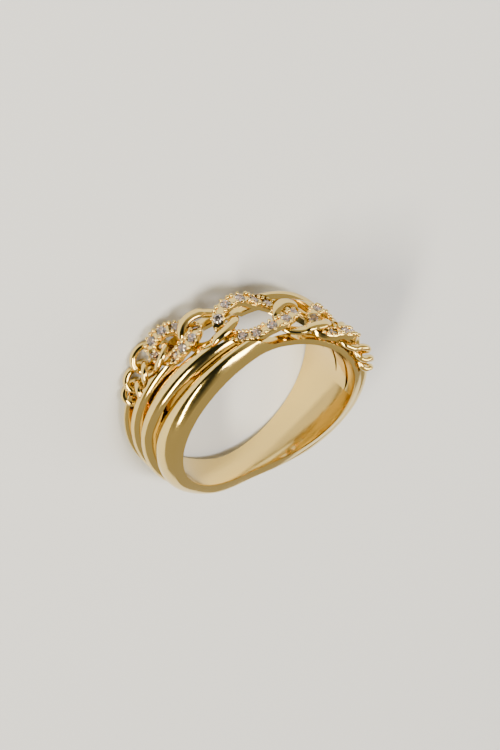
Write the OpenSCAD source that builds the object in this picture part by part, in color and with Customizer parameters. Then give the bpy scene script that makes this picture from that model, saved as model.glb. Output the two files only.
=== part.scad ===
// Chain link ring: a crossover band of four ridges a side that narrows to a slim shank.
// A graduated curb chain of eleven links crosses the top, every other big link set with stones.
// The ring lies on its side, back rim down, as it comes to rest by itself.
// Places on the ring are unrolled: s runs round it from the top, y along the finger to the back.

/* [Finger hole] */
// Inside diameter of the ring, mm
finger_d = 17.2; // [14:0.1:22]

/* [Band] */
// Wall of the shank where it is plain, at the bottom, mm
shank_wall = 1.8; // [1:0.05:2.4]
// Wall of the ridges at the shoulders, mm
shoulder_wall = 1.9; // [1.2:0.05:2.6]
// Height of the front ridge over its edges, as a share of the other ridges' height
first_ridge = 0.75; // [0.5:0.05:1]
// Metal left under a groove between two ridges, mm
groove_wall = 0.8; // [0.5:0.05:1.2]
// Half width of the shank at the bottom, mm
shank_half = 1.2; // [0.8:0.05:2]
// Narrow rim of each half: its distance from the middle at the side, mm
near_rim_side = 2.05; // [1.2:0.05:3.5]
// Narrow rim of each half: its distance from the middle at the top, mm
near_rim_top = 2.6; // [1.5:0.05:3.5]
// Wide rim of each half: its distance from the middle at the side, mm
far_rim_side = 4.4; // [2.5:0.05:5.5]
// Wide rim of each half: its distance from the middle at the top, mm
far_rim_top = 2.9; // [2:0.05:4]
// How far the side walls of the band lean inward, per mm of their height
rim_slope = 0.35; // [0:0.05:0.5]
// Width of the cuts between the ridges of the shoulders, mm
slot_w = 0.36; // [0.15:0.01:0.5]
// Wall of the thin rails below the chain, mm
rail_wall = 0.5; // [0.35:0.05:0.8]
// Width of the thin rails below the chain, mm
rail_w = 0.85; // [0.5:0.05:1.5]
// Clearance between the chain and the edge of its bed in the band, mm
bed_gap = 0.2; // [0.1:0.05:0.5]

/* [Chain] */
// Height of the chain's middle line over the finger hole, mm
chain_lift = 1.5; // [1.3:0.05:2.5]
// How far the wire of a link rises and dips from the middle line, mm
weave = 0.49; // [0.4:0.01:0.8]
// Half length of the middle link, mm
mid_half_len = 4.0; // [3:0.05:5]
// Half width of the middle link, mm
mid_half_wid = 2.6; // [2:0.05:3.5]
// Half length of the plain big links, mm
plain_half_len = 2.9; // [2:0.05:4]
// Half width of the plain big links, mm
plain_half_wid = 2.1; // [1.6:0.05:3]
// Half length of the side links with stones, mm
side_half_len = 2.8; // [2:0.05:4]
// Half width of the side links with stones, mm
side_half_wid = 1.9; // [1.6:0.05:3]
// Half length of the third links, mm
third_half_len = 2.2; // [1.6:0.05:3]
// Half width of the third links, mm
third_half_wid = 1.65; // [1.2:0.05:2.4]
// Half length of the second links, mm
second_half_len = 1.8; // [1.4:0.05:2.5]
// Half width of the second links, mm
second_half_wid = 1.35; // [1:0.05:2]
// Half length of the end links, mm
end_half_len = 1.45; // [1.2:0.05:2.2]
// Half width of the end links, mm
end_half_wid = 1.4; // [1:0.05:2]
// Width of the bar of the links with stones, mm
set_bar_w = 1.18; // [0.9:0.02:1.6]
// Height of the bar of the links with stones, mm
set_bar_t = 0.66; // [0.5:0.02:1.2]
// Width of the oval wire of the plain big links, mm
plain_wire_w = 0.95; // [0.6:0.05:1.2]
// Height of the oval wire of the plain big links, mm
plain_wire_t = 0.64; // [0.4:0.02:1]
// Width of the oval wire of the three small links at each end, mm
small_wire_w = 0.66; // [0.4:0.02:0.9]
// Height of the oval wire of the three small links at each end, mm
small_wire_t = 0.58; // [0.3:0.02:0.8]
// Play along the chain between the plain and the middle link, mm
middle_play = 0.34; // [0.1:0.01:0.5]
// Play along the chain between the side and the plain link, mm
side_play = 0.25; // [0.1:0.01:0.5]
// Play along the chain between the third and the side link, mm
third_play = 0.35; // [0.1:0.01:0.5]
// Play along the chain between the second and the third link, mm
second_play = 0.36; // [0.1:0.01:0.5]
// Play along the chain between the end and the second link, mm
end_play = 0.24; // [0.1:0.01:0.5]

/* [Stones] */
// Diameter of a stone, mm
stone_d = 0.9; // [0.7:0.02:1.2]
// Clearance of a stone in its seat, mm
seat_gap = 0.06; // [0.03:0.01:0.12]
// Width of a setting bead at its foot, mm
bead_d = 0.38; // [0.2:0.02:0.5]
// Height of a setting bead over the bar, mm
bead_h = 0.22; // [0.1:0.02:0.4]

/* [Resting place] */
// Lean of the finger axis from upright when the ring lies on its side, degrees
rest_lean = 11.52; // [0:0.01:20]
// Side towards which the ring leans, degrees round the finger axis
rest_side = 40.44; // [-180:0.01:180]
// Height of the ring's middle above the ground, mm
rest_height = 3.555; // [2:0.001:9]
// Place of the ring's middle beside the middle of its outline, mm: across
rest_x = -0.019; // [-3:0.001:3]
// The same, towards the back
rest_y = -0.418; // [-3:0.001:3]

/* [Hidden] */
bore_r = finger_d / 2;
// The band's section starts a little below the hole, which is cut last
below_bore = 0.4;
skin_in = bore_r - below_bore;
// How far a cut reaches past what it cuts
past_cut = 1;
chain_r = bore_r + chain_lift;
// Places of the chain are measured along a circle this far outside the finger hole
map_over = 2;
map_r = bore_r + map_over;

// Rows: half length, half width, wire width, wire height, set with stones or not,
// steps round the link, degrees by which the weave runs ahead
KINDS = [
  [mid_half_len, mid_half_wid, set_bar_w, set_bar_t, true, 36, 0],
  [plain_half_len, plain_half_wid, plain_wire_w, plain_wire_t, false, 32, 0],
  [side_half_len, side_half_wid, set_bar_w, set_bar_t, true, 32, 0],
  [third_half_len, third_half_wid, small_wire_w, small_wire_t, false, 26, 4.4],
  [second_half_len, second_half_wid, small_wire_w, small_wire_t, false, 24, 1],
  [end_half_len, end_half_wid, small_wire_w, small_wire_t, false, 20, 0],
];
function half_len(i) = KINDS[i][0];
function half_wid(i) = KINDS[i][1];
function wire_w(i) = KINDS[i][2];
function wire_t(i) = KINDS[i][3];
function has_stones(i) = KINDS[i][4];
function link_steps(i) = KINDS[i][5];
function weave_ahead(i) = KINDS[i][6];

// Rows, from the middle link out: direction of the step from the link before, direction in
// which the link lies, play towards the link before, and how far the link lies below the chain
HALF_CHAIN = [
  [0, -17.5, 0, 0],
  [-23.4, -19.6, middle_play, 0],
  [-21.9, -22.5, side_play, 0],
  [-21.3, -11.8, third_play, 0],
  [-2.2, 4.8, second_play, 0.05],
  [9.3, 8.2, end_play, 0.15],
];
function step_turn(i) = HALF_CHAIN[i][0];
function link_turn(i) = HALF_CHAIN[i][1];
function play(i) = HALF_CHAIN[i][2];
function drop(i) = HALF_CHAIN[i][3];

// Angles round a link, from its right end, at which stones sit on the upper run
MID_STONES = [57, 80, 104, 131, 165];
SIDE_STONES = [80, 109, 141, 178];

GOLD = [0.86, 0.68, 0.36];
STONE = [0.9, 0.88, 0.93];

function unit(v) = v / norm(v);
function mix(a, b, k) = a + (b - a) * k;
function ease(k) = let(c = min(1, max(0, k))) c * c * (3 - 2 * c);

// A place on the ring: t degrees round the finger axis from +X, radius r, y towards the back
function spot(t, r, y) = [r * cos(t), r * sin(t), -y];
function turn_of(s) = 90 - s * 180 / (PI * map_r);
function unrolled(s, y, r) = spot(turn_of(s), r, y);

// Distance of a rim from the ring's middle plane at t, from its values at bottom, side and top
rim_round = 0.2;
function side_share(t) =
  (sqrt(cos(t) * cos(t) + rim_round * rim_round) - rim_round) / (sqrt(1 + rim_round * rim_round) - rim_round);
function rim(t, low, side, top) =
  let(mean = (low + top) / 2, swing = (top - low) / 2)
  mean + swing * sin(t) + (side - mean) * side_share(t);
function near_rim(t) = rim(t, shank_half, near_rim_side, near_rim_top);
function far_rim(t) = rim(t, shank_half, far_rim_side, far_rim_top);
// Near the top, under the chain, the narrow rim of one half runs over into the wide rim of the other
function front_rim(t) = mix(near_rim(t), far_rim(t), t < 90 && t > -90 ? right_top(t) : left_top(t));
function back_rim(t) = mix(far_rim(t), near_rim(t), t < 90 && t > -90 ? right_top(t) : left_top(t));
run_over = 20;
function right_top(t) = 1 - ease((t - 90) / run_over + 0.5);
function left_top(t) = ease((90 - t) / run_over + 0.5);

// Grooves: share of the width from the narrow rim, at the side and at the top
GROOVES = [[0.4, 0.22], [0.64, 0.54], [0.87, 0.79]];
function groove_share(g, t) = mix(GROOVES[g][0], GROOVES[g][1], max(0, sin(t)));
// Half way round from the bottom counts as 1
function from_bottom(t) = abs(sin((t + 90) / 2));
// Height of the ridges over the grooves: none at the bottom, full from the flanks up
ridges_begin = 0.14;
ridges_full = 0.36;
function fluting(t) = ease((from_bottom(t) - ridges_begin) / (ridges_full - ridges_begin));

// Rows of points across the band: even at the bottom, where the halves meet, and along the
// grooves from where the ridges begin
function row_share(k, t) =
  k == 0 || k == 4 ? k / 4 : mix(k / 4, groove_share(k - 1, t), ease(from_bottom(t) / ridges_begin));

// Points across one half of the band on the left, from the narrow front rim to the wide back rim
ROW = [-1, -0.8, -0.42, 0, 0.42, 0.8];
ridge_round = 0.98;
function ridge_h(u) = sqrt(max(0, 1 - u * u * ridge_round));
// The front ridge rises more gently from a crisp edge
edge_h = ridge_h(1);
function first_h(u) = edge_h + (first_ridge - edge_h) * (1 - u * u);
wall_full = 0.83;
function wall_at(t) = mix(shank_wall, shoulder_wall, ease(from_bottom(t) / wall_full));
// Plain section of the shank, at a share of its width
plain_edge = 0.5;
function plain_h(share) = sqrt(1 - pow(abs(2 * share - 1), 2.4) * (1 - plain_edge * plain_edge));
function half_row(t) = [
  for (k = [0:3])
    let(
      from = row_share(k, t),
      to = row_share(k + 1, t)
    )
    for (u = ROW)
      let(
        share = mix(from, to, (u + 1) / 2),
        high = mix(plain_h(share), k == 0 ? first_h(u) : ridge_h(u), fluting(t))
      )
      [crown_r(t, high), mix(-near_rim(t), far_rim(t), share)],
  [crown_r(t, mix(plain_edge, edge_h, fluting(t))), far_rim(t)]
];
function crown_r(t, high) = bore_r + groove_wall + (wall_at(t) - groove_wall) * high;
// The side walls are wider apart at the finger than at their outer edge
foot = rim_slope * (bore_r + groove_wall - skin_in);
function band_section(t) =
  let(
    left = t > 90,
    row = half_row(left ? t : 180 - t),
    n = len(row),
    lo = -front_rim(t),
    hi = back_rim(t),
    from = left ? -near_rim(t) : -far_rim(t),
    to = left ? far_rim(t) : near_rim(t)
  )
  concat(
    [spot(t, skin_in, lo - foot)],
    [
      for (i = [0:n - 1])
        let(
          p = left ? row[i] : row[n - 1 - i],
          y = left ? p[1] : -p[1],
          share = (y - from) / (to - from)
        )
        spot(t, p[0], mix(lo, hi, share))
    ],
    [spot(t, skin_in, hi + foot)]
  );

// A closed solid through rings of points; loop joins the last ring to the first
function ring_faces(n, m, last) = [
  for (i = [0:last])
    for (j = [0:m - 1])
      let(
        a = i * m + j,
        b = i * m + (j + 1) % m,
        c = ((i + 1) % n) * m + (j + 1) % m,
        d = ((i + 1) % n) * m + j
      )
      each [[a, b, c], [a, c, d]]
];
function cap_faces(n, m) = [
  for (j = [1:m - 2])
    each [[0, j + 1, j], [(n - 1) * m, (n - 1) * m + j, (n - 1) * m + j + 1]]
];
function six_volumes(p, faces) = [for (f = faces) p[f[0]] * cross(p[f[1]], p[f[2]])] * [for (f = faces) 1];
module skin(rings, loop) {
  n = len(rings);
  m = len(rings[0]);
  points = [for (r = rings) each r];
  faces = concat(ring_faces(n, m, loop ? n - 1 : n - 2), loop ? [] : cap_faces(n, m));
  outward = six_volumes(points, faces) < 0;
  polyhedron(points = points, faces = outward ? faces : [for (f = faces) [f[2], f[1], f[0]]], convexity = 8);
}

band_steps = 56;
band_start = 91.5;
function once_round(t) = t > 270 ? t - 360 : t;
module fluted_ring() {
  skin([for (i = [0:band_steps - 1]) band_section(once_round(band_start + i * 360 / band_steps))], true);
}

// Bed of the chain: the outline of the links, widened by bed_gap. Lower edge of a turned oval
// with half axes a and b, at x from its middle; far out where x is past its ends
past_rim = far_rim_side + 3 * past_cut;
function oval_low(x, a, b, turn) =
  let(
    p = pow(cos(turn) / a, 2) + pow(sin(turn) / b, 2),
    q = sin(2 * turn) * (1 / (a * a) - 1 / (b * b)),
    r = pow(sin(turn) / a, 2) + pow(cos(turn) / b, 2),
    root = q * q * x * x - 4 * r * (p * x * x - 1)
  )
  root < 0 ? past_rim : (-q * x - sqrt(root)) / (2 * r);
bed_links = 4;
// The bed's last section stands this much short of the outline's very end
last_step = 0.01;
function link_low(i, s) =
  place(i)[1] + oval_low(s - place(i)[0], half_len(i) + bed_gap, half_wid(i) + bed_gap, link_turn(i));
function bed_low(s) = s > 0 ? -past_rim : min([for (i = [0:bed_links]) link_low(i, s)]);
bed_reach = half_len(bed_links) + bed_gap - place(bed_links)[0] - last_step;
bed_steps = 26;
bed_top_r = chain_r + weave + set_bar_t + bead_h + past_cut;
bed_floor = bore_r + rail_wall;
module chain_bed() {
  skin([
    for (k = [-bed_steps:bed_steps])
      let(s = bed_reach * k / bed_steps, lo = bed_low(s), hi = -bed_low(-s))
      [
        unrolled(s, lo, bed_floor),
        unrolled(s, lo, bed_top_r),
        unrolled(s, hi, bed_top_r),
        unrolled(s, hi, bed_floor)
      ]
  ], false);
}

// The opening below the chain, between the ends of the ridges and the thin rails: the floor left
// at the ridges' ends, and at the two ends of the bed
ledge = 0.25;
end_floor = 1.6;
below_skin = skin_in - past_cut;
open_top_r = bed_floor + past_cut;
function rail_edge(s) = far_rim(turn_of(-abs(s))) - rail_w;
function open_low(s) =
  s > 0 ? -rail_edge(s) : max(bed_low(s) + ledge, -(near_rim(turn_of(s)) - rail_w));
open_reach = bed_reach - rail_w - end_floor;
open_steps = 12;
module underside_opening() {
  skin([
    for (k = [-open_steps:open_steps])
      let(s = open_reach * k / open_steps, lo = open_low(s), hi = -open_low(-s))
      [
        unrolled(s, lo, below_skin),
        unrolled(s, lo, open_top_r),
        unrolled(s, hi, open_top_r),
        unrolled(s, hi, below_skin)
      ]
  ], false);
}

// Cuts between the ridges of the left shoulder: groove, from and to in degrees
SLOTS = [[0, 129, 168], [1, 137, 178], [2, 150, 186]];
slot_top_r = bore_r + shoulder_wall + past_cut;
slot_steps = 8;
// A cut narrows to this share of its width at its ends
slot_end = 0.2;
function slot_width(k) = slot_w * max(slot_end, pow(sin(180 * k / slot_steps), 0.6));
module shoulder_slots() {
  for (c = SLOTS)
    skin([
      for (k = [0:slot_steps])
        let(
          t = mix(c[1], c[2], k / slot_steps),
          y = mix(-near_rim(t), far_rim(t), groove_share(c[0], t)),
          w = slot_width(k) / 2
        )
        [
          spot(t, below_skin, y - w),
          spot(t, slot_top_r, y - w),
          spot(t, slot_top_r, y + w),
          spot(t, below_skin, y + w)
        ]
    ], false);
}

// Chain: place of link i on the left half, walked out from the middle
function pitch(i) = half_len(i) + half_len(i - 1) - wire_w(i) - wire_w(i - 1) - play(i);
function place(i) =
  i == 0 ? [0, 0] : place(i - 1) - pitch(i) * [cos(step_turn(i)), sin(step_turn(i))];

// Middle line of a link's wire at f degrees round it, and the frame there: along, across, up
weave_round = 0.62;
function rise(f) = let(x = sin(2 * f)) -sign(x) * pow(abs(x), weave_round);
function wire_mid(i, f) =
  let(
    p = (half_len(i) - wire_w(i) / 2) * cos(f),
    q = (half_wid(i) - wire_w(i) / 2) * sin(f),
    a = link_turn(i),
    c = place(i)
  )
  unrolled(
    c[0] + p * cos(a) - q * sin(a),
    c[1] + p * sin(a) + q * cos(a),
    chain_r - drop(i) + weave * rise(f + weave_ahead(i))
  );
function radial(p) = unit([p[0], p[1], 0]);
function wire_along(i, f) = unit(wire_mid(i, f + 2) - wire_mid(i, f - 2));
function wire_up(i, f) =
  let(t = wire_along(i, f), n = radial(wire_mid(i, f))) unit(n - (n * t) * t);
function wire_across(i, f) = cross(wire_up(i, f), wire_along(i, f));

// Sections of the wire: across, up, as shares of the half width and half height
wire_sides = 6;
wire_swell = 1.04;
ROUND_WIRE = [
  for (k = [0:wire_sides - 1])
    let(a = (k + 0.5) * 360 / wire_sides)
    [cos(a) * wire_swell, sin(a) * wire_swell]
];
SET_BAR = [[1, -0.72], [1, 0.62], [0.72, 1], [-0.72, 1], [-1, 0.62], [-1, -0.72], [-0.6, -1], [0.6, -1]];
function link_ring(i, f) =
  let(
    m = wire_mid(i, f),
    b = wire_across(i, f),
    n = wire_up(i, f),
    shape = has_stones(i) ? SET_BAR : ROUND_WIRE
  )
  [for (p = shape) m + b * p[0] * wire_w(i) / 2 + n * p[1] * wire_t(i) / 2];
module link_wire(i) {
  n = link_steps(i);
  skin([for (j = [0:n - 1]) link_ring(i, j * 360 / n)], true);
}

// Moves a shape made at the origin, +Z up, onto the top of link i's bar at f degrees
module on_bar(i, f) {
  m = wire_mid(i, f) + wire_up(i, f) * wire_t(i) / 2;
  t = wire_along(i, f);
  b = wire_across(i, f);
  n = wire_up(i, f);
  multmatrix([
    [t[0], b[0], n[0], m[0]],
    [t[1], b[1], n[1], m[1]],
    [t[2], b[2], n[2], m[2]],
    [0, 0, 0, 1]
  ])
    children();
}

function both_runs(list) = concat(list, [for (f = list) f + 180]);
MID_ALL = both_runs(MID_STONES);
SIDE_ALL = both_runs(SIDE_STONES);
// Brilliant cut, as shares of the diameter: table, crown, girdle and pavilion
table_share = 0.56;
crown_h = 0.15;
girdle_h = 0.033;
pavilion_h = 0.41;
// Height of the girdle over the top of the bar
stone_lift = -0.03;

// Bead places: half way between stones and a little over half a step past the ends of a run
past_end = 0.6;
function bead_angles(list) = concat(
  [list[0] - (list[1] - list[0]) * past_end],
  [for (k = [1:len(list) - 1]) (list[k] + list[k - 1]) / 2],
  [list[len(list) - 1] + (list[len(list) - 1] - list[len(list) - 2]) * past_end]
);

// Seat: a cone that follows the stone's underside, open above the bar
seat_depth = stone_d * pavilion_h - stone_lift + seat_gap * 1.5;
seat_tip_r = 0.1;
seat_over = 0.25;
module seat() {
  mouth = stone_d / 2 + seat_gap;
  grow = (mouth - seat_tip_r) / seat_depth;
  translate([0, 0, -seat_depth])
    cylinder(h = seat_depth + seat_over, r1 = seat_tip_r, r2 = mouth + grow * seat_over, $fn = 24);
}
bead_root = 0.12;
bead_edge = 0.05;
bead_top = 0.6;
module bead() {
  translate([0, 0, -bead_root])
    cylinder(h = bead_root + bead_h, d1 = bead_d, d2 = bead_d * bead_top, $fn = 6);
}
module set_link(i, list) {
  union() {
    difference() {
      link_wire(i);
      for (f = both_runs(list))
        on_bar(i, f)
          seat();
    }
    for (f = both_runs(bead_angles(list)), side = [-1, 1])
      on_bar(i, f)
        translate([0, side * (set_bar_w / 2 - bead_d / 2 - bead_edge), 0])
          bead();
  }
}

// Stone: table, eight crown facets with stars between, girdle, eight below
function around(r, turn, z) = [for (k = [0:7]) [r * cos(45 * k + turn), r * sin(45 * k + turn), z]];
module stone() {
  r = stone_d / 2;
  table = around(r * table_share, 22.5, (girdle_h + crown_h) * stone_d);
  upper = around(r, 0, girdle_h * stone_d);
  lower = around(r, 0, 0);
  tip = [[0, 0, -pavilion_h * stone_d]];
  polyhedron(
    points = concat(table, upper, lower, tip),
    faces = concat(
      [[for (k = [7:-1:0]) k]],
      [for (k = [0:7]) [k, (k + 1) % 8, 8 + (k + 1) % 8]],
      [for (k = [0:7]) [k, 8 + (k + 1) % 8, 8 + k]],
      [for (k = [0:7]) [8 + k, 8 + (k + 1) % 8, 16 + (k + 1) % 8]],
      [for (k = [0:7]) [8 + k, 16 + (k + 1) % 8, 16 + k]],
      [for (k = [0:7]) [16 + k, 16 + (k + 1) % 8, 24]]
    )
  );
}

// The right half is the left half turned half a turn about the line through the ring's top
module other_half() {
  rotate([0, 180, 0])
    children();
}
// Lays the ring down on its side
module laid() {
  translate([rest_x, rest_y, rest_height])
    rotate(a = rest_lean, v = [cos(rest_side), sin(rest_side), 0])
      children();
}

module band() {
  color(GOLD)
    laid()
      difference() {
        union() {
          difference() {
            fluted_ring();
            chain_bed();
            underside_opening();
            shoulder_slots();
            other_half()
              shoulder_slots();
          }
          link_wire(5);
          other_half()
            link_wire(5);
        }
        translate([0, 0, -past_rim])
          cylinder(h = 2 * past_rim, r = bore_r, $fn = 96);
      }
}
module link_middle() {
  color(GOLD)
    laid()
      set_link(0, MID_STONES);
}
module link_plain(right) {
  color(GOLD)
    laid()
      rotate([0, right ? 180 : 0, 0])
        link_wire(1);
}
module link_side(right) {
  color(GOLD)
    laid()
      rotate([0, right ? 180 : 0, 0])
        set_link(2, SIDE_STONES);
}
module link_small(i, right) {
  color(GOLD)
    laid()
      rotate([0, right ? 180 : 0, 0])
        link_wire(i);
}
module stone_on(i, f, right) {
  color(STONE)
    laid()
      rotate([0, right ? 180 : 0, 0])
        on_bar(i, f)
          translate([0, 0, stone_lift])
            stone();
}

band();
link_middle();
link_plain(false);  // link_plain_left
link_plain(true);  // link_plain_right
link_side(false);  // link_side_left
link_side(true);  // link_side_right
link_small(3, false);  // link_third_left
link_small(3, true);  // link_third_right
link_small(4, false);  // link_second_left
link_small(4, true);  // link_second_right
for (i = [1:10]) stone_on(0, MID_ALL[i - 1], false);
for (i = [1:8]) stone_on(2, SIDE_ALL[i - 1], false);
for (i = [1:8]) stone_on(2, SIDE_ALL[i - 1], true);
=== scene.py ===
import math

import bpy
import numpy as np
from mathutils import Matrix, Vector


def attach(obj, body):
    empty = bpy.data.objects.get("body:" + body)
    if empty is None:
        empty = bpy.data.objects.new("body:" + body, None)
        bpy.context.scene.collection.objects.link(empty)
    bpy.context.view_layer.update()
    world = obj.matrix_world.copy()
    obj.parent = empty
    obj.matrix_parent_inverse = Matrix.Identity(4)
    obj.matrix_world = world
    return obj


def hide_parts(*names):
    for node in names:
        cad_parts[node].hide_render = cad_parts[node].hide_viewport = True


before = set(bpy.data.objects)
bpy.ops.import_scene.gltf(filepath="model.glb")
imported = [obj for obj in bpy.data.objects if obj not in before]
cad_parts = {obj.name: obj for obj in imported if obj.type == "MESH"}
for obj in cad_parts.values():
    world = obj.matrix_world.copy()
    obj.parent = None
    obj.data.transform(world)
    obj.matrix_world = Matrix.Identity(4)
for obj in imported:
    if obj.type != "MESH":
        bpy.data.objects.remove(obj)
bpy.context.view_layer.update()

# Band
# One brass casting, polished and gold-plated: four ridges on each shoulder that fade into a
# plain slim shank, with slits between the ridges near the chain and thin rails below it.
# Sizes are in mm in the ring's own frame, where Z is the finger axis and Y points to the chain.
MM = 0.001
FINGER_R = 8.6
SHANK_WALL = 1.8
SHOULDER_WALL = 1.9
GROOVE_WALL = 0.8
# Rims: distance from the ring's middle plane at the bottom, and at the side and the top for the
# narrow rim (near) and the wide rim (far) of each half. RIM_ROUND softens their bends at the top
# and the bottom.
SHANK_HALF = 1.2
NEAR_SIDE = 2.05
NEAR_TOP = 2.6
FAR_SIDE = 4.4
FAR_TOP = 2.9
RIM_ROUND = 0.2
# Degrees about the top over which the near rim of one half runs over into the other's far rim
RUN_OVER = 20
# Grooves: share of the width from the near rim, at the side and at the top
GROOVES = ((0.4, 0.22), (0.64, 0.54), (0.87, 0.79))
# Where the ridges begin and are full, and where the wall is full: 0 is the bottom, 1 the top
RIDGES_BEGIN = 0.14
RIDGES_FULL = 0.36
WALL_FULL = 0.83
# Heights over the grooves, as shares of a full ridge: each ridge is an arc that ends in a crisp
# edge at EDGE_H, the front one is lower, and the plain shank is a rounder arc down to PLAIN_EDGE
RIDGE_ROUND = 0.98
EDGE_H = math.sqrt(1 - RIDGE_ROUND)
FRONT_RIDGE = 0.75
PLAIN_EDGE = 0.5
PLAIN_ROUND = 2.4
RIDGE_POINTS = 18
# The side walls lean outward to the finger, and their edges are softened by the polish
WALL_LEAN = 0.35
SOFT_EDGE = 0.15
# Rounding of the finger hole's edges: out from the hole, and in from the side wall
FINGER_EDGE_R = np.array([0.0, 0.03, 0.12])
FINGER_EDGE_Y = np.array([0.13, 0.03, 0.0])
# Radius at which the band and the chain are laid out flat
MAP_R = FINGER_R + 2.0
# How the ring comes to rest: degrees of lean about a line at REST_SIDE degrees, and its middle
REST_LEAN = 11.52
REST_SIDE = 40.44
REST_MIDDLE = (-0.019, -0.418, 3.555)


def rest_matrix():
    """From the ring's own frame in mm to the part's frame in metres."""
    axis = (math.cos(math.radians(REST_SIDE)), math.sin(math.radians(REST_SIDE)), 0)
    lean = Matrix.Rotation(math.radians(REST_LEAN), 4, axis)
    return Matrix.Scale(MM, 4) @ Matrix.Translation(REST_MIDDLE) @ lean


# The right half of the ring is the left half turned half a turn about the line through its top
LEFT = rest_matrix()
RIGHT = LEFT @ Matrix.Rotation(math.pi, 4, "Y")


def sind(a):
    return np.sin(np.radians(a))


def cosd(a):
    return np.cos(np.radians(a))


def spot(t, r, y):
    """A place on the ring: t degrees round the finger axis, radius r, y towards the back."""
    return np.stack([r * cosd(t), r * sind(t), -y + 0 * t * r], -1)


def turn_of(s):
    """Degrees round the finger axis at s mm to the right of the top."""
    return 90 - s * 180 / (math.pi * MAP_R)


def unrolled(s, y, r):
    """A place on the ring, s mm to the right of the top."""
    return spot(turn_of(s), r, y)


def mix(a, b, k):
    return a + (b - a) * k


def ease(k):
    """From 0 to 1 with a soft start and a soft end."""
    c = np.clip(k, 0, 1)
    return c * c * (3 - 2 * c)


def rim(t, low, side, top):
    """Distance of a rim from the middle plane at t."""
    mean, swing = (low + top) / 2, (top - low) / 2
    corner = RIM_ROUND ** 2
    side_share = (np.sqrt(cosd(t) ** 2 + corner) - RIM_ROUND) / (math.sqrt(1 + corner) - RIM_ROUND)
    return mean + swing * sind(t) + (side - mean) * side_share


def near_rim(t):
    return rim(t, SHANK_HALF, NEAR_SIDE, NEAR_TOP)


def far_rim(t):
    return rim(t, SHANK_HALF, FAR_SIDE, FAR_TOP)


def run_over(t):
    """Share by which a rim has run over into the other half's, on either side of the top."""
    right = 1 - ease((t - 90) / RUN_OVER + 0.5)
    left = ease((90 - t) / RUN_OVER + 0.5)
    return np.where((t < 90) & (t > -90), right, left)


def front_rim(t):
    return mix(near_rim(t), far_rim(t), run_over(t))


def back_rim(t):
    return mix(far_rim(t), near_rim(t), run_over(t))


def groove_share(g, t):
    """Share of the width at which groove g lies at t."""
    return mix(GROOVES[g][0], GROOVES[g][1], np.maximum(0, sind(t)))


def from_bottom(t):
    """How far up the ring t is: 0 at the bottom, 1 at the top."""
    return np.abs(sind((t + 90) / 2))


def fluting(t):
    """Height of the ridges over the grooves: none at the bottom, full from the flanks up."""
    return ease((from_bottom(t) - RIDGES_BEGIN) / (RIDGES_FULL - RIDGES_BEGIN))


def crown_r(t, high):
    """Outer radius at t, for a height over the grooves from 0 to 1."""
    wall = mix(SHANK_WALL, SHOULDER_WALL, ease(from_bottom(t) / WALL_FULL))
    return FINGER_R + GROOVE_WALL + (wall - GROOVE_WALL) * high


def row_share(k, t):
    """Share of the width where ridge k begins: even at the bottom, where the two halves meet,
    and along the grooves from where the ridges begin."""
    if k in (0, 4):
        return k / 4 + 0 * t
    return mix(k / 4, groove_share(k - 1, t), ease(from_bottom(t) / RIDGES_BEGIN))


def half_row(t):
    """Radius and y across the left half at each t, from the near rim in front to the far rim."""
    radii, places = [], []
    for k in range(4):
        for u in -np.cos(np.linspace(0, math.pi, RIDGE_POINTS + 1))[:-1]:
            share = mix(row_share(k, t), row_share(k + 1, t), (u + 1) / 2)
            low = np.abs(2 * share - 1) ** PLAIN_ROUND * (1 - PLAIN_EDGE ** 2)
            plain = np.sqrt(np.maximum(0, 1 - low))
            ridge = math.sqrt(max(0, 1 - u * u * RIDGE_ROUND))
            if k == 0:
                ridge = EDGE_H + (FRONT_RIDGE - EDGE_H) * (1 - u * u)
            radii.append(crown_r(t, mix(plain, ridge, fluting(t))))
            places.append(mix(-near_rim(t), far_rim(t), share))
    radii.append(crown_r(t, mix(PLAIN_EDGE, EDGE_H, fluting(t))))
    places.append(far_rim(t))
    return np.array(radii), np.array(places)


def mesh_object(name, verts, faces):
    mesh = bpy.data.meshes.new(name)
    mesh.from_pydata([tuple(map(float, v)) for v in verts], [], faces)
    mesh.validate()
    mesh.update()
    piece = bpy.data.objects.new(name, mesh)
    bpy.context.scene.collection.objects.link(piece)
    return piece


def outward(verts, faces):
    """The faces turned to look outward, told by the sign of the volume."""
    v = np.asarray(verts, dtype=float)
    v = v - v.mean(axis=0)
    total = 0.0
    for f in faces:
        for k in range(1, len(f) - 1):
            total += np.dot(v[f[0]], np.cross(v[f[k]], v[f[k + 1]]))
    return faces if total > 0 else [tuple(reversed(f)) for f in faces]


def skin(name, rings, loop):
    """A closed solid through rings of points; loop joins the last ring to the first."""
    rings = np.asarray(rings, dtype=float)
    n, m = rings.shape[:2]
    faces = []
    for i in range(n if loop else n - 1):
        a, b = i * m, ((i + 1) % n) * m
        faces += [(a + j, a + (j + 1) % m, b + (j + 1) % m, b + j) for j in range(m)]
    if not loop:
        faces += [tuple(range(m - 1, -1, -1)), tuple(range((n - 1) * m, n * m))]
    verts = rings.reshape(-1, 3)
    return mesh_object(name, verts, outward(verts, faces))


def cut_away(piece, tool):
    """Cuts one closed shape out of another, and removes it."""
    cut = piece.modifiers.new("cut", "BOOLEAN")
    cut.operation = "DIFFERENCE"
    cut.solver = "EXACT"
    cut.object = tool
    graph = bpy.context.evaluated_depsgraph_get()
    mesh = bpy.data.meshes.new_from_object(piece.evaluated_get(graph))
    piece.modifiers.clear()
    piece.data = mesh
    bpy.data.objects.remove(tool)


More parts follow.
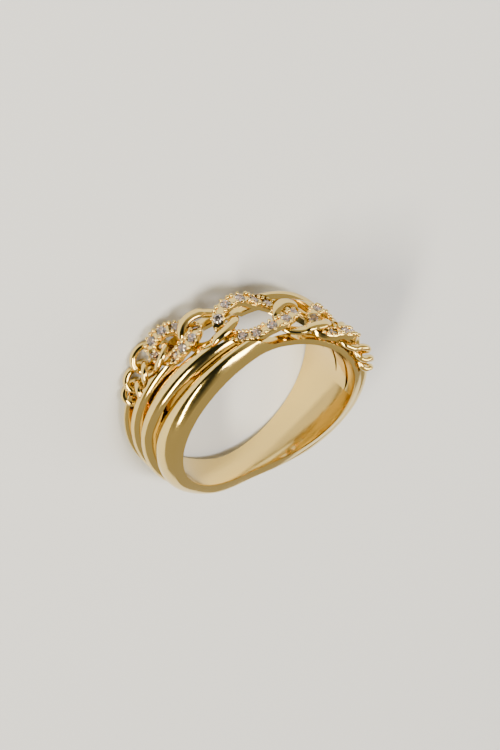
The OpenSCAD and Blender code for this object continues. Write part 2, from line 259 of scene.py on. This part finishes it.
def fluted_ring():
    """The whole band before its cuts, a section at each degree."""
    t = np.concatenate([np.arange(91.0, 270, 1.0), np.arange(-90.0, 91, 1.0)])
    left = t > 90
    row_r, row_y = half_row(np.where(left, t, 180 - t))
    lo, hi = -front_rim(t), back_rim(t)
    inner_r = FINGER_R + FINGER_EDGE_R
    inner_y = FINGER_EDGE_Y - WALL_LEAN * (GROOVE_WALL - FINGER_EDGE_R)
    rings = []
    for i, a in enumerate(t):
        r, y = row_r[:, i], row_y[:, i]
        start, end = -near_rim(a), far_rim(a)
        if not left[i]:
            r, y = r[::-1], -y[::-1]
            start, end = -end, -start
        y = mix(lo[i], hi[i], (y - start) / (end - start))
        soft_y = inner_y[2] * SOFT_EDGE / (r[[0, -1]] - inner_r[2])
        front_y = np.append(lo[i] + inner_y, lo[i] + soft_y[0])
        back_y = np.append(hi[i] - inner_y, hi[i] - soft_y[1])
        front_r = np.append(inner_r, r[0] - SOFT_EDGE)
        back_r = np.append(inner_r, r[-1] - SOFT_EDGE)
        ring_r = np.concatenate([front_r, r, back_r[::-1]])
        ring_y = np.concatenate([front_y, y, back_y[::-1]])
        rings.append(spot(a, ring_r, ring_y))
    return skin("band", rings, True)


# The chain, from the middle link out to the end of the left half: half length, half width, wire
# width, wire height, degrees by which the weave runs ahead, direction of the step from the link
# before, direction in which the link lies, play, and how far it lies below the chain
LINK_COLUMNS = ("kind", "half", "wide", "w", "h", "ahead", "step", "lies", "play", "drop")
LINK_ROWS = (
    ("middle", 4.0, 2.6, 1.18, 0.66, 0.0, 0.0, -17.5, 0.0, 0.0),
    ("plain", 2.9, 2.1, 0.95, 0.64, 0.0, -23.4, -19.6, 0.34, 0.0),
    ("side", 2.8, 1.9, 1.18, 0.66, 0.0, -21.9, -22.5, 0.25, 0.0),
    ("third", 2.2, 1.65, 0.66, 0.58, 4.4, -21.3, -11.8, 0.35, 0.0),
    ("second", 1.8, 1.35, 0.66, 0.58, 1.0, -2.2, 4.8, 0.36, 0.05),
    ("end", 1.45, 1.4, 0.66, 0.58, 0.0, 9.3, 8.2, 0.24, 0.15),
)
CHAIN = [dict(zip(LINK_COLUMNS, row)) for row in LINK_ROWS]


def chain_places():
    """Middle of each link, as s and y on the unrolled band."""
    places = [np.zeros(2)]
    for before, link in zip(CHAIN[:-1], CHAIN[1:]):
        pitch = link["half"] + before["half"] - link["w"] - before["w"] - link["play"]
        places.append(places[-1] - pitch * np.array([cosd(link["step"]), sind(link["step"])]))
    return places


PLACES = chain_places()

# The bed follows the links with a gap, down to the thin rails that are left above the finger.
# It stops just short of the ends of the second links. The opening below it leaves a floor at the
# ridges' ends, and at each end of the bed a floor of END_FLOOR and a rail's width.
BED_GAP = 0.2
SHORT_OF_END = 0.01
RAIL_WALL = 0.5
RAIL_W = 0.85
RIDGE_FLOOR = 0.25
END_FLOOR = 1.6
# Slits: their width, the share of it that is left at the ends, the power by which they taper,
# and a row for each with its groove and its ends in degrees
SLIT_W = 0.36
SLIT_END = 0.2
SLIT_TAPER = 0.6
SLIT_STEPS = 24
SLITS = ((0, 129, 168), (1, 137, 178), (2, 150, 186))
# Cuts reach past the metal: inside the finger hole, over the band, beyond the rims, past the
# ends of a link's oval, and into each other
CUT_IN = 7.2
BED_TOP = 13
SLIT_TOP = 11.6
PAST_RIM = 7.2
OFF_OVAL = 20.0
OVERLAP = 1


def oval_low(x, a, b, turn):
    """Lower edge at x of an oval with half axes a and b, turned; far out past its ends."""
    c, s = math.cos(math.radians(turn)), math.sin(math.radians(turn))
    p = (c / a) ** 2 + (s / b) ** 2
    q = 2 * s * c * (1 / a ** 2 - 1 / b ** 2)
    r = (s / a) ** 2 + (c / b) ** 2
    root = (q * x) ** 2 - 4 * r * (p * x * x - 1)
    return OFF_OVAL if root < 0 else (-q * x - math.sqrt(root)) / (2 * r)


def bed_low(s):
    """Front edge of the bed at s."""
    if s > 0:
        return -PAST_RIM
    lows = [PAST_RIM]
    for link, (link_s, link_y) in zip(CHAIN[:-1], PLACES[:-1]):
        low = oval_low(s - link_s, link["half"] + BED_GAP, link["wide"] + BED_GAP, link["lies"])
        lows.append(link_y + low)
    return min(lows)


def open_low(s):
    """Front edge of the opening under the chain, between the ridges' ends and the rails."""
    if s > 0:
        return RAIL_W - far_rim(turn_of(-s))
    return max(bed_low(s) + RIDGE_FLOOR, RAIL_W - near_rim(turn_of(s)))


def between(name, low, reach, steps, bottom, top):
    """A block from s -reach to reach, its front edge at low(s) and its back edge the same turned."""
    rings = []
    for s in np.linspace(-reach, reach, steps):
        corners = ((low(s), bottom), (low(s), top), (-low(-s), top), (-low(-s), bottom))
        rings.append([unrolled(s, y, r) for y, r in corners])
    return skin(name, rings, False)


def shoulder_slit(groove, start, end, turned):
    """A curved blade along one groove, for the left half or, turned, for the right one."""
    rings = []
    for k in range(SLIT_STEPS + 1):
        t = mix(start, end, k / SLIT_STEPS)
        y = mix(-near_rim(t), far_rim(t), groove_share(groove, t))
        w = SLIT_W / 2 * max(SLIT_END, math.sin(math.pi * k / SLIT_STEPS) ** SLIT_TAPER)
        corners = ((CUT_IN, y - w), (SLIT_TOP, y - w), (SLIT_TOP, y + w), (CUT_IN, y + w))
        ring = np.array([spot(t, r, side_y) for r, side_y in corners])
        rings.append(ring * (-1, 1, -1) if turned else ring)
    return skin("slit", rings, False)


def node(tree, kind, at, **settings):
    """Adds a node at a place in the editor. Settings named in_X set or link its input X, the
    others set the node itself."""
    made = tree.nodes.new(kind)
    made.location = at
    for key, value in settings.items():
        if key.startswith("in_"):
            place = key[3:].replace("_", " ")
            socket = made.inputs[int(place) if place.isdigit() else place]
            if isinstance(value, bpy.types.NodeSocket):
                tree.links.new(value, socket)
            else:
                socket.default_value = value
        else:
            setattr(made, key, value)
    return made


def linear(hex_colour):
    """An sRGB hex colour as linear RGBA."""
    parts = [int(hex_colour[i:i + 2], 16) / 255 for i in (1, 3, 5)]
    return tuple(c / 12.92 if c <= 0.04045 else ((c + 0.055) / 1.055) ** 2.4 for c in parts) + (1.0,)


# The tumbled polish leaves low waves about a millimetre wide, and a haze too fine to show here,
# which is drawn coarser. Sizes in mm.
HAZE_SIZE = 0.4
WAVE_SIZE = 1.0
WAVE_DEPTH = 0.1


def gold_material():
    """Champagne gold plate on tumbled brass. The eye sees crisp mirror streaks that waver a little,
    and turn orange deep in the grooves, where the metal mirrors itself."""
    gold = bpy.data.materials.new("gold_plate")
    gold.use_nodes = True
    tree = gold.node_tree
    tree.nodes.clear()
    place = node(tree, "ShaderNodeTexCoord", (-900, 0))
    haze = node(tree, "ShaderNodeTexNoise", (-700, 100), in_Vector=place.outputs["Object"],
                in_Scale=1 / (HAZE_SIZE * MM), in_Detail=3.0, in_Roughness=0.6)
    rough = node(tree, "ShaderNodeMapRange", (-480, 100), in_Value=haze.outputs["Fac"],
                 in_To_Min=0.07, in_To_Max=0.15)
    wave = node(tree, "ShaderNodeTexNoise", (-700, -200), in_Vector=place.outputs["Object"],
                in_Scale=1 / (WAVE_SIZE * MM), in_Detail=2.0)
    bump = node(tree, "ShaderNodeBump", (-480, -200), in_Height=wave.outputs["Fac"], in_Strength=0.1,
                in_Distance=WAVE_DEPTH * MM)
    surface = node(tree, "ShaderNodeBsdfPrincipled", (-220, 0), in_Base_Color=linear("#e6ca7e"),
                   in_Metallic=1.0, in_Roughness=rough.outputs["Result"], in_Normal=bump.outputs["Normal"])
    node(tree, "ShaderNodeOutputMaterial", (80, 0), in_Surface=surface.outputs["BSDF"])
    return gold


GOLD = gold_material()


def finish(piece, where, material, slot_name, *nodes, smooth_angle=40):
    """Puts a piece in its place, with its material and its place in the frame. Edges that turn
    by more than smooth_angle degrees stay crisp."""
    piece.data.transform(where)
    piece.data.materials.clear()
    piece.data.materials.append(material)
    piece.data.polygons.foreach_set("use_smooth", [True] * len(piece.data.polygons))
    piece.data.set_sharp_from_angle(angle=math.radians(smooth_angle))
    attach(piece, "root")
    if nodes:
        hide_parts(*nodes)


band = fluted_ring()
bed_floor = FINGER_R + RAIL_WALL
bed_reach = CHAIN[4]["half"] + BED_GAP - SHORT_OF_END - PLACES[4][0]
open_reach = bed_reach - RAIL_W - END_FLOOR
cut_away(band, between("bed", bed_low, bed_reach, steps=121, bottom=bed_floor, top=BED_TOP))
cut_away(band, between("underside", open_low, open_reach, steps=61, bottom=CUT_IN, top=bed_floor + OVERLAP))
for turned in (False, True):
    for groove, start, end in SLITS:
        cut_away(band, shoulder_slit(groove, start, end, turned))
finish(band, LEFT, GOLD, "gold", "band", smooth_angle=30)

# Plain links
# The chain is a graduated curb chain: each link is twisted so that it lies over its neighbour
# on one side and under it on the other. The plain links are polished wire, a little flat.
# The smallest one at each end is soldered to the band.
CHAIN_R = FINGER_R + 1.5
WEAVE = 0.49
WEAVE_ROUND = 0.62


def wire_mid(i, f):
    """Middle of the wire at f degrees round link i."""
    link = CHAIN[i]
    p = (link["half"] - link["w"] / 2) * cosd(f)
    q = (link["wide"] - link["w"] / 2) * sind(f)
    c, s = cosd(link["lies"]), sind(link["lies"])
    swing = sind(2 * (f + link["ahead"]))
    rise = -np.sign(swing) * np.abs(swing) ** WEAVE_ROUND
    link_s, link_y = PLACES[i]
    return unrolled(link_s + p * c - q * s, link_y + p * s + q * c, CHAIN_R - link["drop"] + WEAVE * rise)


def unit(v):
    return v / np.linalg.norm(v, axis=-1, keepdims=True)


def wire_frame(i, f):
    """Middle of the wire at f degrees round link i, and the directions along, across and up."""
    middle = wire_mid(i, f)
    along = unit(wire_mid(i, f + 3) - wire_mid(i, f - 3))
    up = unit(middle * (1, 1, 0))
    up = unit(up - np.sum(up * along, -1, keepdims=True) * along)
    return middle, along, np.cross(up, along), up


def link_wire(i, name, outline, steps=160):
    """A link's wire, its section given as a list of places across and up, from -1 to 1."""
    middle, _, across, up = wire_frame(i, np.arange(steps) * 360 / steps)
    half_w, half_h = CHAIN[i]["w"] / 2, CHAIN[i]["h"] / 2
    return skin(name, np.stack([middle + across * u * half_w + up * v * half_h for u, v in outline], 1), True)


WIRE_SIDES = 20
ROUND_WIRE = [(cosd(a), sind(a)) for a in np.arange(WIRE_SIDES) * 360 / WIRE_SIDES]
# The end link, number 5, is part of the band's node, so it replaces none of its own
for i in (1, 3, 4, 5):
    for label, where in (("left", LEFT), ("right", RIGHT)):
        piece = "link_%s_%s" % (CHAIN[i]["kind"], label)
        nodes = [] if i == 5 else [piece]
        finish(link_wire(i, "wire_" + piece, ROUND_WIRE), where, GOLD, "gold", *nodes)

# Links with stones
# The three links with stones are flat bars with conical seats. Small round beads raised from
# the metal stand in a row along both edges and hold the stones: two between stones, one beside.
STONE_D = 0.9
STONE_LIFT = -0.03
# Seats: gap round the stone and below it, radius at the bottom, and reach over the bar
SEAT_GAP = 0.06
SEAT_DEEPER = 0.09
SEAT_TIP = 0.1
SEAT_OVER = 0.25
# Stones on one side of a link, in degrees round it
MIDDLE_STONES = (57, 80, 104, 131, 165)
SIDE_STONES = (80, 109, 141, 178)
# Beads between two stones: radius, height of the top over the bar, distance from the middle
# between the stones, and from the bar's edge; then the beads beside the stones. The row goes on
# past the last stone by ROW_END of the step between two stones.
ROW_END = 0.6
BEAD_R = 0.19
BEAD_TOP = 0.27
BEAD_STEP = 0.2
BEAD_INSET = 0.14
SIDE_BEAD_R = 0.16
SIDE_BEAD_TOP = 0.2
SIDE_BEAD_INSET = 0.04
# The cut, as shares of the diameter: half the table, and the heights of crown, girdle and
# pavilion. The star facets end at STAR_OUT of the radii of table and girdle together and at
# STAR_HIGH of the crown, the lower facets at shares of the radius and of the pavilion.
TABLE = 0.28
CROWN = 0.15
GIRDLE = 0.033
PAVILION = 0.41
STAR_OUT = 0.51
STAR_HIGH = 0.52
LOWER_IN = 0.32
LOWER_DEEP = 0.68


def square_section(sides, power):
    """A square with rounded corners, as places across and up."""
    places = []
    for a in (np.arange(sides) + 0.5) * 2 * math.pi / sides:
        c, s = math.cos(a), math.sin(a)
        q = (abs(c) ** power + abs(s) ** power) ** (-1 / power)
        places.append((q * c, q * s))
    return places


def on_bar(i, f):
    """Frame on top of link i's bar at f degrees: X along, Y across, Z up."""
    middle, along, across, up = wire_frame(i, np.array(float(f)))
    top = middle + up * CHAIN[i]["h"] / 2
    return Matrix([(along[r], across[r], up[r], top[r]) for r in range(3)] + [(0, 0, 0, 1)])


def turned_shape(name, profile, sides):
    """A closed shape turned about Z from a profile of radius and height."""
    a = np.arange(sides) * 360 / sides
    return skin(name, [np.stack([r * cosd(a), r * sind(a), z + 0 * a], -1) for r, z in profile], False)


def seat(i, f):
    """The cone cut for a stone."""
    depth = STONE_D * PAVILION - STONE_LIFT + SEAT_DEEPER
    mouth = STONE_D / 2 + SEAT_GAP
    top_r = SEAT_TIP + (mouth - SEAT_TIP) * (depth + SEAT_OVER) / depth
    tool = turned_shape("seat", [(SEAT_TIP, -depth), (top_r, SEAT_OVER)], sides=32)
    tool.data.transform(on_bar(i, f))
    return tool


def between_stones(stones):
    """Middles between the stones of one side, and one place past each end."""
    middles = [(a + b) / 2 for a, b in zip(stones[:-1], stones[1:])]
    first = stones[0] - (stones[1] - stones[0]) * ROW_END
    last = stones[-1] + (stones[-1] - stones[-2]) * ROW_END
    return [first] + middles + [last]


def bead(i, f, along, across, r, top):
    """A rounded bead of radius r whose top stands above the bar."""
    profile = [(r * cosd(a), top - r + r * sind(a)) for a in np.linspace(-70, 86, 8)]
    ball = turned_shape("ball", profile, sides=14)
    ball.data.transform(on_bar(i, f) @ Matrix.Translation((along, across, 0)))
    return ball


def join(name, parts):
    """Makes one mesh of several, and removes these."""
    verts, faces = [], []
    for part in parts:
        base = len(verts)
        verts += [v.co[:] for v in part.data.vertices]
        faces += [tuple(base + k for k in p.vertices) for p in part.data.polygons]
        bpy.data.objects.remove(part)
    return mesh_object(name, verts, faces)


def stone_mesh(name):
    """Brilliant cut with 57 facets, the lower edge of its girdle at z 0."""
    r = STONE_D / 2
    table, crown, girdle, depth = TABLE * STONE_D, CROWN * STONE_D, GIRDLE * STONE_D, PAVILION * STONE_D
    verts, faces = [], []

    def ring(n, radius, z, turn):
        first = len(verts)
        for k in range(n):
            a = turn + k * 360 / n
            verts.append((radius * cosd(a), radius * sind(a), z))
        return first

    top = ring(8, table, girdle + crown, 0)
    star = ring(8, (table + r) * STAR_OUT, girdle + crown * STAR_HIGH, 22.5)
    edge = ring(16, r, girdle, 0)
    low = ring(16, r, 0.0, 0)
    half = ring(8, r * LOWER_IN, -depth * LOWER_DEEP, 22.5)
    tip = ring(1, 0, -depth, 0)
    faces.append(tuple(range(top, top + 8)))
    for k in range(8):
        n, b = (k + 1) % 8, (k - 1) % 8
        faces.append((top + k, star + k, top + n))
        faces.append((top + k, star + b, edge + 2 * k, star + k))
        faces.append((star + k, edge + 2 * k, edge + 2 * k + 1))
        faces.append((star + k, edge + 2 * k + 1, edge + (2 * k + 2) % 16))
        faces.append((low + 2 * k, half + k, low + 2 * k + 1))
        faces.append((low + 2 * k + 1, half + k, low + (2 * k + 2) % 16))
        faces.append((low + 2 * k, half + b, tip, half + k))
    faces += [(edge + k, low + k, low + (k + 1) % 16, edge + (k + 1) % 16) for k in range(16)]
    return mesh_object(name, verts, outward(verts, faces))


def stone_material():
    """Cubic zirconia, cut and polished, with a faint rose tint. The eye sees hard bright sparks
    beside dark facets, and the gold of the seat through them."""
    stone = bpy.data.materials.new("clear_stone")
    stone.use_nodes = True
    tree = stone.node_tree
    tree.nodes.clear()
    surface = node(tree, "ShaderNodeBsdfPrincipled", (-220, 0), in_Base_Color=linear("#fde8ea"),
                   in_Metallic=0.0, in_Roughness=0.02, in_IOR=2.15, in_Transmission_Weight=1.0)
    node(tree, "ShaderNodeOutputMaterial", (80, 0), in_Surface=surface.outputs["BSDF"])
    return stone


CLEAR = stone_material()
BAR = square_section(sides=32, power=5.0)


def set_link(i, stones, where, label):
    """A bar with its seats, its beads and its stones."""
    bar = link_wire(i, "bar_" + label, BAR)
    places = list(stones) + [f + 180 for f in stones]
    for f in places:
        cut_away(bar, seat(i, f))
    finish(bar, where, GOLD, "gold", "link_" + label, smooth_angle=30)
    beads = []
    edge = CHAIN[i]["w"] / 2
    for side in (-1, 1):
        for run in (0, 180):
            for along in (-BEAD_STEP, BEAD_STEP):
                beads += [bead(i, f + run, along, side * (edge - BEAD_INSET), BEAD_R, BEAD_TOP)
                          for f in between_stones(stones)]
        beads += [bead(i, f, 0, side * (edge - SIDE_BEAD_INSET), SIDE_BEAD_R, SIDE_BEAD_TOP) for f in places]
    finish(join("beads_" + label, beads), where, GOLD, "gold", smooth_angle=80)
    for n, f in enumerate(places, 1):
        gem = stone_mesh("gem_%s_%d" % (label, n))
        gem.data.transform(on_bar(i, f) @ Matrix.Translation((0, 0, STONE_LIFT)))
        finish(gem, where, CLEAR, "stone", "stone_%s_%d" % (label, n), smooth_angle=1)


set_link(0, MIDDLE_STONES, LEFT, "middle")
set_link(2, SIDE_STONES, LEFT, "side_left")
set_link(2, SIDE_STONES, RIGHT, "side_right")

# Floor and light
# A plain pale floor, long soft boxes that draw the bright streaks on the ridges, and pale
# surroundings with one darker side, which draws the dark streak beside them. Sizes in metres.
FLOOR_HALF = 1.5


def floor_material():
    """Pale matt painted board. The eye sees an even tone and a soft shadow, without streaks."""
    board = bpy.data.materials.new("pale_floor")
    board.use_nodes = True
    tree = board.node_tree
    tree.nodes.clear()
    surface = node(tree, "ShaderNodeBsdfPrincipled", (-220, 0), in_Base_Color=linear("#c4c9dc"),
                   in_Roughness=0.7)
    node(tree, "ShaderNodeOutputMaterial", (80, 0), in_Surface=surface.outputs["BSDF"])
    return board


corners = [(x * FLOOR_HALF, y * FLOOR_HALF, 0) for x, y in ((-1, -1), (1, -1), (1, 1), (-1, 1))]
floor = mesh_object("floor", corners, [(0, 1, 2, 3)])
floor.data.materials.append(floor_material())


def direction(turn, height):
    """Direction from the ring, by degrees round it and degrees above the floor."""
    a, e = math.radians(turn), math.radians(height)
    return Vector((math.cos(a) * math.cos(e), math.sin(a) * math.cos(e), math.sin(e)))


def soft_box(name, turn, height, far, size, power, colour):
    """A soft light aimed at the ring; turn and height in degrees as seen from the ring."""
    data = bpy.data.lights.new(name, "AREA")
    data.shape = "RECTANGLE"
    data.size, data.size_y = size
    data.energy = power
    data.color = linear(colour)[:3]
    light = bpy.data.objects.new(name, data)
    bpy.context.scene.collection.objects.link(light)
    light.location = direction(turn, height) * far
    light.rotation_euler = light.location.to_track_quat("Z", "Y").to_euler()


soft_box("overhead", 60, 75, 0.5, (0.3, 0.12), 3.4, "#fff6dc")
soft_box("window", 180, 38, 0.55, (0.42, 0.06), 6.5, "#fff0c4")
soft_box("fill", -20, 35, 0.6, (0.08, 0.4), 2.0, "#fff2cc")


def surroundings(dark_side):
    """Even pale surroundings, darker towards one side of the room."""
    world = bpy.data.worlds.new("studio")
    bpy.context.scene.world = world
    world.use_nodes = True
    tree = world.node_tree
    tree.nodes.clear()
    place = node(tree, "ShaderNodeTexCoord", (-900, 0))
    side = node(tree, "ShaderNodeVectorMath", (-700, 0), operation="DOT_PRODUCT",
                in_0=place.outputs["Generated"], in_1=tuple(dark_side))
    share = node(tree, "ShaderNodeMapRange", (-480, 0), interpolation_type="SMOOTHSTEP",
                 in_Value=side.outputs["Value"], in_From_Min=0.5, in_From_Max=0.9)
    # Inputs 6 and 7 and output 2 are the colours of a colour mix
    level = node(tree, "ShaderNodeMix", (-320, 0), data_type="RGBA", in_0=share.outputs["Result"],
                 in_6=linear("#beb49e"), in_7=linear("#1a2224"))
    light = node(tree, "ShaderNodeBackground", (-120, 0), in_Color=level.outputs[2])
    node(tree, "ShaderNodeOutputWorld", (80, 0), in_Surface=light.outputs["Background"])


surroundings(direction(150, 38))

# Camera
# It stands where the photo's camera stood around the ring, found from both rims and the stones:
# degrees of turn, height and roll, distance in mm, and focal length and centre in pixels.
PHOTO_W = 500
PHOTO_H = 750
CAM_TURN = -42.66
CAM_HEIGHT = 45.56
CAM_ROLL = 6.72
CAM_FAR = 354.54
CAM_F = 4000.0
CAM_CENTRE = (245.85, 397.23)
SENSOR = 36.0


def camera_axes():
    """Right, down and forward of the camera in the ring's own frame."""
    a, e, roll = (math.radians(v) for v in (CAM_TURN, CAM_HEIGHT, CAM_ROLL))
    forward = -np.array([math.sin(a) * math.cos(e), -math.cos(a) * math.cos(e), math.sin(e)])
    right = unit(np.cross(forward, (0, 0, 1)))
    down = np.cross(forward, right)
    c, s = math.cos(roll), math.sin(roll)
    right, down = c * right - s * down, s * right + c * down
    return [np.array((v[0], v[2], -v[1])) for v in (right, down, forward)]


right, down, forward = camera_axes()
spin = LEFT.to_3x3().normalized()
axes = [spin @ Vector(v) for v in (right, -down, -forward)]
stand = LEFT.translation + axes[2] * CAM_FAR * MM
camera_data = bpy.data.cameras.new("camera")
camera_data.sensor_width = SENSOR
camera_data.lens = CAM_F / PHOTO_H * SENSOR
camera_data.clip_start = 0.01
camera_data.clip_end = 10
camera_data.shift_x = (PHOTO_W / 2 - CAM_CENTRE[0]) / PHOTO_H
camera_data.shift_y = (CAM_CENTRE[1] - PHOTO_H / 2) / PHOTO_H
camera = bpy.data.objects.new("camera", camera_data)
bpy.context.scene.collection.objects.link(camera)
rows = [(axes[0][r], axes[1][r], axes[2][r], stand[r]) for r in range(3)]
camera.matrix_world = Matrix(rows + [(0, 0, 0, 1)])
bpy.context.scene.camera = camera
